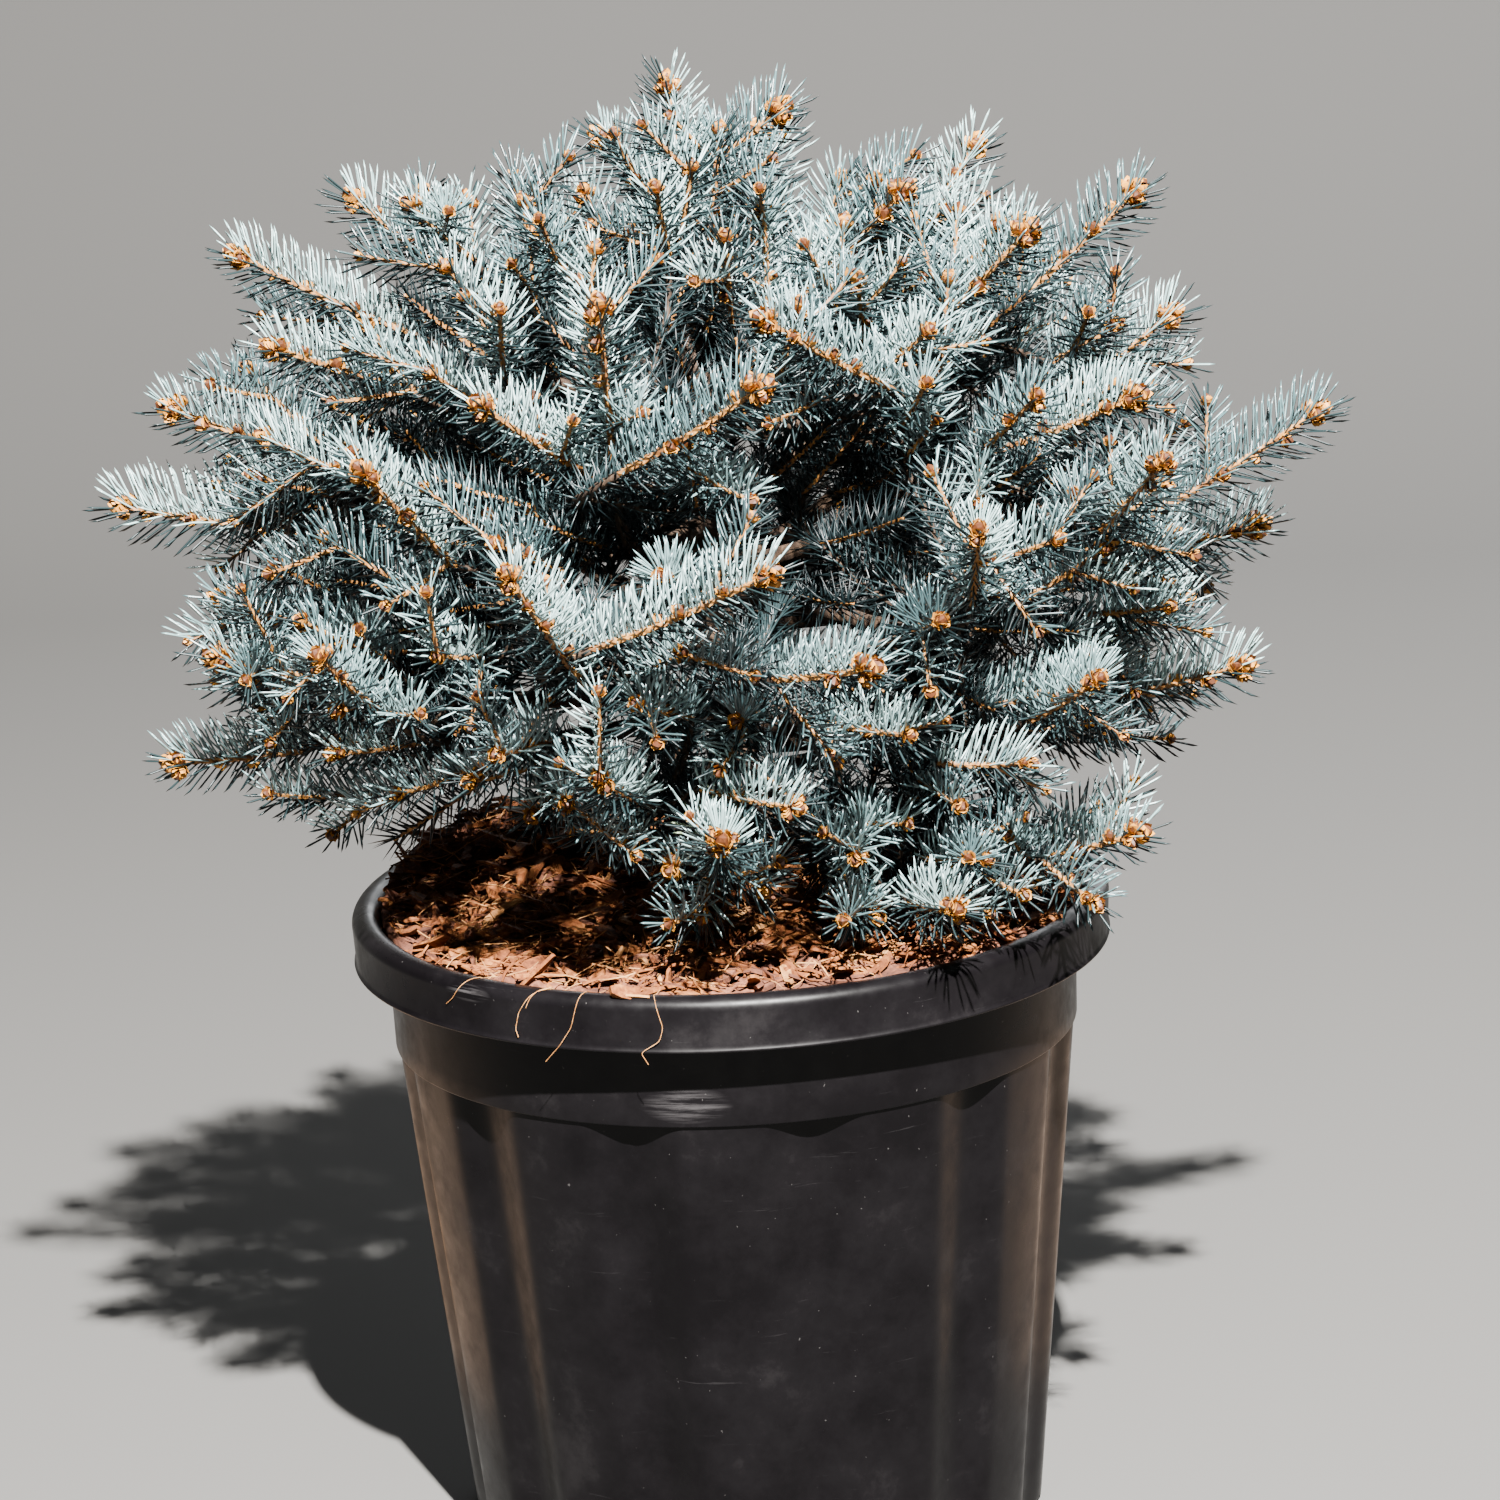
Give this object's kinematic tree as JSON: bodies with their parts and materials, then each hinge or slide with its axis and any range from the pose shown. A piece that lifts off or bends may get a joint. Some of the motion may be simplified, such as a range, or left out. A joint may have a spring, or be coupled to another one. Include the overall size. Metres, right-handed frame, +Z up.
{
  "type": "potted dwarf globe blue spruce",
  "caption": "Dwarf globe-shaped blue spruce with silvery blue needled shoots and orange buds, growing in a fluted black plastic nursery pot topped with bark mulch.",
  "frame": {"origin": "centre of the pot's flat underside", "axes": "+Z up the pot's axis, -Y towards the front that the picture shows, +X to the right seen from the front"},
  "size_m": [0.6673, 0.606, 0.7864],
  "materials": {
    "pot": "semi-gloss black moulded plastic, dusty and lightly scuffed",
    "mulch": "shredded red-brown bark and coir fibre",
    "trunk_bark": "grey-brown flaking bark",
    "bough_bark": "rough orange-brown twig bark with needle pegs",
    "needles": "stiff needles with a pale waxy blue bloom"
  },
  "bodies": {
    "root": {"bough_back_1": "bough_bark", "bough_back_2": "bough_bark", "bough_back_3": "bough_bark", "bough_back_4": "bough_bark", "bough_back_5": "bough_bark", "bough_bottom_front": "bough_bark", "bough_bottom_left_front": "bough_bark", "bough_bottom_right": "bough_bark", "bough_far_left": "bough_bark", "bough_far_right": "bough_bark", "bough_front_crossing": "bough_bark", "bough_front_forked": "bough_bark", "bough_front_high": "bough_bark", "bough_front_low": "bough_bark", "bough_front_right": "bough_bark", "bough_front_upright": "bough_bark", "bough_low_left": "bough_bark", "bough_low_left_front": "bough_bark", "bough_low_right": "bough_bark", "bough_low_right_front": "bough_bark", "bough_right_front": "bough_bark", "bough_right_shoulder": "bough_bark", "bough_upper_left": "bough_bark", "mulch": "mulch", "needles_back_1": "needles", "needles_back_2": "needles", "needles_back_3": "needles", "needles_back_4": "needles", "needles_back_5": "needles", "needles_back_6": "needles", "needles_back_7": "needles", "needles_bottom_front": "needles", "needles_bottom_left_front": "needles", "needles_bottom_right": "needles", "needles_far_left": "needles", "needles_far_right": "needles", "needles_front_crossing": "needles", "needles_front_forked": "needles", "needles_front_high": "needles", "needles_front_low": "needles", "needles_front_right": "needles", "needles_front_upright": "needles", "needles_left_shoulder": "needles", "needles_long_right": "needles", "needles_low_left": "needles", "needles_low_left_front": "needles", "needles_low_right": "needles", "needles_low_right_front": "needles", "needles_right_front": "needles", "needles_right_shoulder": "needles", "needles_top": "needles", "needles_upper_back_right": "needles", "needles_upper_left": "needles", "needles_upper_right": "needles", "pot": "pot", "trunk": "trunk_bark"}
  },
  "joints": []
}
